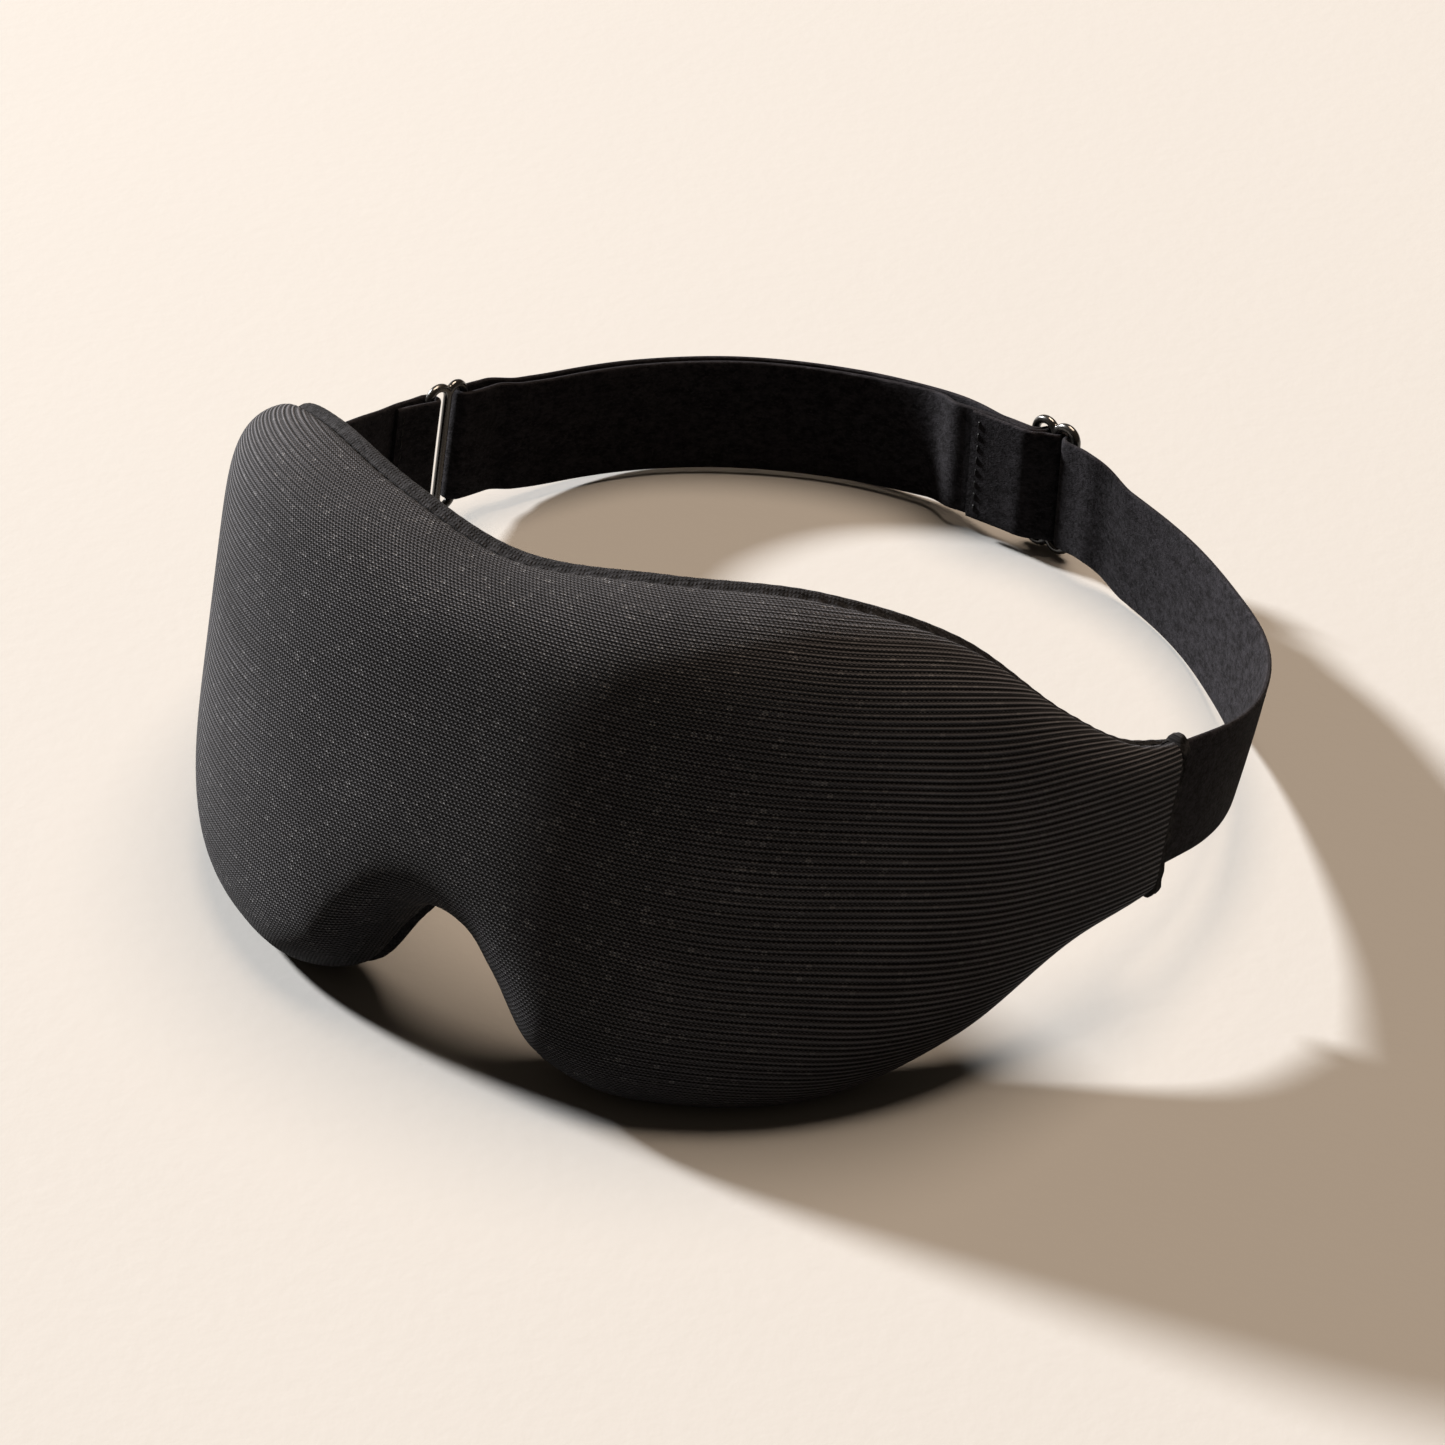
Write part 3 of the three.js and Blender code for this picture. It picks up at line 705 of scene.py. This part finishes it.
def ribbon(name, points, node, holder=None, first=None, last=None, shear=None, step=0.9,
           body="mask", stand_over=14.0):
    """Webbing on edge along plan points. holder fixes its height and lean to a buckle's all the
    way; first and last do so at that end only, and let go over stand_over millimetres. shear
    slants its height along it. A piece with no body of its own is left unattached."""
    line, s = smooth_path(points, step)
    tangent = np.gradient(line, s, axis=0)
    tangent /= np.linalg.norm(tangent, axis=1)[:, None]
    deg = degrees_of(line)
    lean, z = np.radians(through(LOOP, deg, 3)), through(LOOP, deg, 2)
    out = np.stack([np.cos(np.radians(deg)), np.sin(np.radians(deg))], -1)
    for b, hold in ((holder, np.ones_like(s)), (first, 1 - ease(s / stand_over)),
                    (last, 1 - ease((s[-1] - s) / stand_over))):
        if b is not None:
            lean = lean + (b.lean - lean) * hold
            z = z + (b.z - z) * hold
            out = out + (b.out - out) * hold[:, None]
            out /= np.linalg.norm(out, axis=1)[:, None]
    normal = np.stack([-tangent[:, 1], tangent[:, 0]], -1)
    o, h = SECTION[None, :, 0], SECTION[None, :, 1]
    slant = 0 if shear is None else shear(s / s[-1])[:, None]
    wave = FLUTTER * np.sin(np.radians(deg) * FLUTTERS)[:, None] * (h / (STRAP_WIDE / 2)) ** 2
    if not holder:
        o = o + wave * np.minimum(1, np.minimum(s, s[-1] - s) / FLUTTER_FADE)[:, None]
    xy = (line[:, None] + normal[:, None] * o[..., None]
          + out[:, None] * (h * np.sin(lean)[:, None])[..., None]
          + tangent[:, None] * (slant * h)[..., None])
    p = np.concatenate([xy, (z[:, None] + h * np.cos(lean)[:, None])[..., None]], -1)
    n, m = len(line), len(SECTION)
    edge = STRAP_WIDE / 2 - np.abs(SECTION[:, 1])
    across = SECTION[:, 1] + FACE_APART * np.sign(SECTION[:, 0])
    weave = np.stack(np.broadcast_arrays(s[:, None], across[None], edge[None]), -1)
    piece = build(name, world(p.reshape(-1, 3)), tube_faces(n, m), WEBBING,
                  weave.reshape(-1, 3), 60)
    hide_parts(node)
    if body:
        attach(piece, body)
    return piece


# the webbing's middle line, in a buckle's own frame: WRAP from a bar that it is folded round,
# PASS from a bar that it runs past; JOIN, RING_JOIN and FLAP_END are where it meets the next piece
WRAP, PASS = 1.75, 2.25
UNDER = SLIDER_PITCH - WRAP
JOIN, RING_JOIN, FLAP_END = 9.3, 11.2, 19.3
in_slider = [(JOIN, -PASS), *arc(SLIDER_PITCH, 0, PASS, 270, 180, 6),
             *arc(0, 0, SLIDER_PITCH - PASS, 20, 160, 8),
             *arc(-SLIDER_PITCH, 0, PASS, 0, -90, 6), (-JOIN, -PASS)]
end_loop = [(-FLAP_END, -UNDER - 0.1), (-13, -UNDER), (-9, -UNDER),
            *arc(-SLIDER_PITCH, 0, UNDER, -90, -15, 4), *arc(0, 0, WRAP, 170, -60, 9),
            (-0.9, -2.6), (-2.2, -4.1), (-4, -4.8), (-8, -4.9), (-17, -4.8)]
ribbon("strap_through_slider", bent(in_slider), "strap_in_slider", holder=slider_frame,
       body="slider", step=0.5)
ribbon("strap_end_flap", bent(end_loop), "strap_end_loop", holder=slider_frame, body="slider",
       step=0.5)
turn = [(RING_JOIN, 1.7), (8, 1.8), *arc(RING_PITCH, 0, WRAP, 90, 270, 10), (8, -1.8),
        (RING_JOIN, -1.7)]
ribbon("strap_round_ring", ring_frame.spot(*np.array(turn).T), "strap_turn", holder=ring_frame,
       body="ring", step=0.5)


# where the runs turn in to the slider and the ring, in degrees round the loop
SIDE_FROM, OUTER_TO, INNER_TO, RING_FROM, SHORT_TO = 72, 98, 101, 152, 174


# how far each run stands off the loop's middle line, by degrees round the loop
def outer_off(d):
    return through([(98, -0.6), (115, 0.5), (130, 0.9), (150, 1.2)], d)


def inner_off(d):
    return through([(98, -2.6), (115, -2.1), (130, -1.8), (150, -1.6)], d)


def side_off(d):
    return through([(36, 0), (54, -0.6), (72, -1.8)], d)


def short_off(d):
    return np.full_like(d, 0.65)


def along(start, end, n, off):
    """Plan points round the loop from start to end, stood off it by off."""
    d = np.linspace(start, end, n + 1)
    return loop_at(d, off(d))


def stacked(*parts):
    return np.concatenate([np.atleast_2d(p) for p in parts])


# short lead-ins keep the ends of two pieces in line where they meet
outer_ring = ribbon("strap_outer_at_ring", stacked(
    ring_frame.spot([RING_JOIN, 14], [1.7, 1.6]), along(RING_FROM, SPLIT, 2, outer_off)),
    "outer_run_ring", first=ring_frame, body=None, stand_over=12)
inner_ring = ribbon("strap_inner_at_ring", stacked(
    ring_frame.spot([RING_JOIN, 14], [-1.7, -1.65]), along(RING_FROM, SPLIT, 2, inner_off)),
    "inner_run_ring", first=ring_frame, body=None, stand_over=12)
outer_run = ribbon("strap_outer_run", stacked(
    along(SPLIT, OUTER_TO, 8, outer_off), bent([(-12, -PASS), (-JOIN, -PASS)])),
    "outer_run_slider", last=slider_frame, body=None)
inner_run = ribbon("strap_inner_run", stacked(
    along(SPLIT, INNER_TO, 7, inner_off),
    bent([(-22, -UNDER - 0.1), (-FLAP_END, -UNDER - 0.1)])),
    "inner_run_slider", last=slider_frame, body=None)
tab_u = HALF + GAP * 2 + WELT_LONG      # where the webbing leaves the tab
tab = np.array([np.interp(tab_u, PLAN_U, PLAN_X), np.interp(tab_u, PLAN_U, PLAN_Y)])
END = float(degrees_of(tab))
SLANT_OVER = 0.2            # share of a strap's length that slants to meet the leaning tab


def slant_end(s):
    return -SLOPE * np.maximum(0, (s - 1 + SLANT_OVER) / SLANT_OVER)


def slant_start(s):
    return SLOPE * np.maximum(0, (SLANT_OVER - s) / SLANT_OVER)


side = ribbon("strap_side_run", stacked(bent([(JOIN, -PASS), (12, -PASS)]),
                                        along(SIDE_FROM, END - 0.6, 8, side_off)),
              "side_run", first=slider_frame, shear=slant_end, body=None)
fold = [(-13, 0.7), (-9, 1.2), *arc(-RING_PITCH, 0, WRAP, 90, -90, 10), (-9, -1.2), (-13, -0.7),
        (-14.4, -0.65)]
ribbon("strap_short", stacked(along(180 - END + 0.6, SHORT_TO, 4, short_off),
                              ring_frame.spot(*np.array(fold).T)),
       "short_strap", last=ring_frame, shear=slant_start, stand_over=30)


def blend_run(piece, mask_end):
    """Bakes a run's placement into its points."""
    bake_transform(piece)


mid_ring = ring_frame.spot(RING_JOIN, 0.0)
for piece in (outer_ring, inner_ring):
    blend_run(piece, loop_at(SPLIT))
blend_run(outer_run, loop_at(SPLIT))
blend_run(inner_run, loop_at(SPLIT))
blend_run(side, tab)


# ---- ring and slider ----
def wire_loops(pitch, shift):
    """Middle lines of the two round-cornered loops that share the middle bar, which may stand
    off the centre by shift."""
    tall, loops = SLOT_TALL / 2 + WIRE / 2, []
    w = pitch / 2
    corner = w * 0.98
    for sign in (-1, 1):
        pts = []
        for cx, cy, a0 in ((w, tall - corner, 0), (-w, tall - corner, 90),
                           (-w, -tall + corner, 180), (w, -tall + corner, 270)):
            for a in np.radians(np.linspace(a0, a0 + 90, 9)):
                pts.append((sign * w + cx - math.copysign(corner, cx) + corner * math.cos(a),
                            cy + corner * math.sin(a), 0))
        # even spacing down the bars
        closed = np.array(pts + pts[:1])
        s = run_along(closed)
        at = np.linspace(0, s[-1], 120, endpoint=False)
        loop = np.stack([np.interp(at, s, closed[:, k]) for k in range(3)], -1)
        loop[:, 0] += shift * ease(1 - np.abs(loop[:, 0]) / pitch)
        loops.append(loop)
    return loops


def buckle(name, pitch, holder, node, body, shift=0.0):
    """Three bars of round wire, their joints run together by a fine remesh."""
    points, faces = joined([tube(loop, WIRE / 2, 12, True) for loop in wire_loops(pitch, shift)])
    up = np.array([*holder.out * math.sin(holder.lean), math.cos(holder.lean)])
    x = np.array([holder.dir[0], holder.dir[1], 0])
    basis = np.stack([x, up, np.cross(x, up)])
    placed = world(points @ basis + np.array([holder.s[0], holder.s[1], holder.z]))
    raw = build(name + "_raw", placed, faces, GLOSS)
    remesh = raw.modifiers.new("remesh", "REMESH")
    remesh.mode, remesh.voxel_size = "VOXEL", 0.2 * MM
    soften = raw.modifiers.new("soften", "SMOOTH")
    soften.factor, soften.iterations = 0.5, 6
    bpy.context.view_layer.update()
    evaluated = raw.evaluated_get(bpy.context.evaluated_depsgraph_get())
    me = bpy.data.meshes.new_from_object(evaluated)
    me.name = name
    bpy.data.objects.remove(raw)
    me.shade_smooth()
    me.materials.clear()
    me.materials.append(GLOSS)
    piece = bpy.data.objects.new(name, me)
    bpy.context.scene.collection.objects.link(piece)
    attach(piece, body)
    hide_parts(node)


buckle("ring_frame", RING_PITCH, ring_frame, "ring", "ring", shift=RING_BAR_SHIFT)
buckle("slider_frame", SLIDER_PITCH, slider_frame, "slider", "slider")


# ---- tab welts ----
WELT_PAST = 0.35            # how far they stand past the CAD's at top and bottom
WELT_HOLD = 0.6             # how far they reach over the pad's end
WELT_AHEAD, WELT_HALF = 0.6, 2.35       # where their middle stands, and half their thickness
CREASE, CREASE_AT, CREASE_WIDE = 0.35, 1.3, 0.4
PINCH, PINCH_OVER = 0.45, 0.07          # thickness left at the corners, and the share they take


def welt(sign, word):
    """The folded end of the pad's tab, with soft rounded edges and pinched corners."""
    n, m = 41, 20
    end = flat(np.ones(n), np.linspace(-1, 1, n))
    v = np.linspace(WELT_BOTTOM - WELT_PAST, WELT_TOP + WELT_PAST, n)
    a = np.linspace(0, 2 * np.pi, m, endpoint=False)
    t = (v - v[0]) / (v[-1] - v[0])
    pinch = PINCH + (1 - PINCH) * np.clip(np.minimum(t, 1 - t) / PINCH_OVER, 0, 1) ** 0.5
    ca, sa = np.cos(a), np.sin(a)
    square = (np.abs(ca) ** 3 + np.abs(sa) ** 3) ** (-1 / 3)
    swell = 1 + 0.05 * np.cos(2 * np.pi * v / STITCH)
    # its inner side follows the pad's end, which bows in, and takes hold of it
    inner = np.interp(v, end[:, 1], end[:, 0]) - WELT_HOLD
    outer = HALF + 0.05 + WELT_LONG
    u = ((outer + inner)[:, None] + (outer - inner)[:, None] * (ca * square)[None]
         * pinch[:, None]) / 2
    d = WELT_AHEAD + WELT_HALF * (sa * square)[None] * (pinch * swell)[:, None]
    # a crease along both faces, where it is sewn
    d = d - CREASE * np.exp(-((u - outer + CREASE_AT) / CREASE_WIDE) ** 2) * np.sign(sa)[None]
    tall = np.broadcast_to(v[:, None], u.shape)
    p = on_pad(sign * u, tall, d)
    weave = np.stack([u, tall, np.ones(u.shape)], -1)
    piece = build(f"welt_{word}", world(p.reshape(-1, 3)), tube_faces(n, m), WELT,
                  weave.reshape(-1, 3), 60)
    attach(piece, "mask")
    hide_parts(f"tab_welt_{word}")


for sign, word in ((1, "left"), (-1, "right")):
    welt(sign, word)


# ---- stitching ----
STITCH_LONG, STITCH_GAP, THREAD_RADIUS = 2.0, 0.65, 0.19
STITCH_PROUD, STITCH_DIVE = 0.04, 0.45


def stitches(name, start, end, normal, body, node):
    """A row of lock stitches from start to end (head frame), each end diving into the cloth."""
    start, end, normal = (np.asarray(a, float) for a in (start, end, normal))
    total = np.linalg.norm(end - start)
    d = (end - start) / total
    count = int(round(total / (STITCH_LONG + STITCH_GAP)))
    pitch = total / count
    parts = []
    t = np.linspace(-1, 1, 9)
    radii = THREAD_RADIUS * MM * np.sqrt(1.03 - t**2) ** 0.5
    sunk = normal * (STITCH_PROUD - STITCH_DIVE * t[:, None] ** 4)
    for i in range(count):
        at = start + d * (i + 0.5) * pitch
        path = at + d * t[:, None] * (pitch - STITCH_GAP) / 2 + sunk
        parts.append(tube(world(path), radii, 7, up=(0.3, 0.5, 0.8)))
    points, faces = joined(parts)
    piece = build(name, points, faces, THREADS)
    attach(piece, body)
    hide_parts(node)


def across_strap(holder, xy):
    """Two head-frame points near the webbing's two edges, above and below the plan point xy."""
    reach = STRAP_WIDE / 2 - 1.2
    return [np.array([*(xy + holder.out * h * math.sin(holder.lean)),
                      holder.z + h * math.cos(holder.lean)]) for h in (-reach, reach)]


def inward(holder):
    return np.array([*-holder.out, 0])


stitches("flap_stitches", *across_strap(slider_frame, bent([(-15.2, -5.4)])[0]),
         inward(slider_frame), "slider", "strap_end_stitch")
stitches("fold_stitches", *across_strap(ring_frame, ring_frame.spot(-12.9, -1.22)),
         inward(ring_frame), "mask", "short_strap_stitch")

# ---- floor and light ----
FLOOR_HALF, FLOOR_DROP = 30.0, 0.0002       # metres; the drop keeps it clear of the cloth
me = bpy.data.meshes.new("floor")
me.from_pydata([(x * FLOOR_HALF, y * FLOOR_HALF, -FLOOR_DROP) for x, y in
                ((-1, -1), (1, -1), (1, 1), (-1, 1))], [], [(0, 1, 2, 3)])
me.materials.append(paper())
floor = bpy.data.objects.new("floor", me)
bpy.context.scene.collection.objects.link(floor)


def softbox(name, azimuth, elevation, distance, size, power, colour):
    """A round lamp that shines on the origin. Its light travels towards the azimuth, in degrees."""
    azimuth, elevation = math.radians(azimuth), math.radians(elevation)
    data = bpy.data.lights.new(name, "AREA")
    data.shape, data.size, data.energy, data.color = "DISK", size, power, colour
    o = bpy.data.objects.new(name, data)
    bpy.context.scene.collection.objects.link(o)
    away = Vector((-math.cos(azimuth) * math.cos(elevation),
                   -math.sin(azimuth) * math.cos(elevation), math.sin(elevation)))
    o.location = away * distance
    o.rotation_mode = "QUATERNION"
    o.rotation_quaternion = (-away).to_track_quat("-Z", "Y")


softbox("key", azimuth=-2, elevation=27, distance=13.5, size=1.5, power=10600,
        colour=(1.0, 0.985, 0.97))
softbox("fill", azimuth=-90, elevation=72, distance=9.0, size=5.4, power=1780,
        colour=(1.0, 0.78, 0.59))
sky = bpy.data.worlds.new("studio")
sky.use_nodes = True
glow = sky.node_tree.nodes["Background"]
glow.inputs["Color"].default_value = (1.0, 0.78, 0.58, 1)
glow.inputs["Strength"].default_value = 0.09
bpy.context.scene.world = sky
bpy.context.scene.view_settings.view_transform = "Standard"
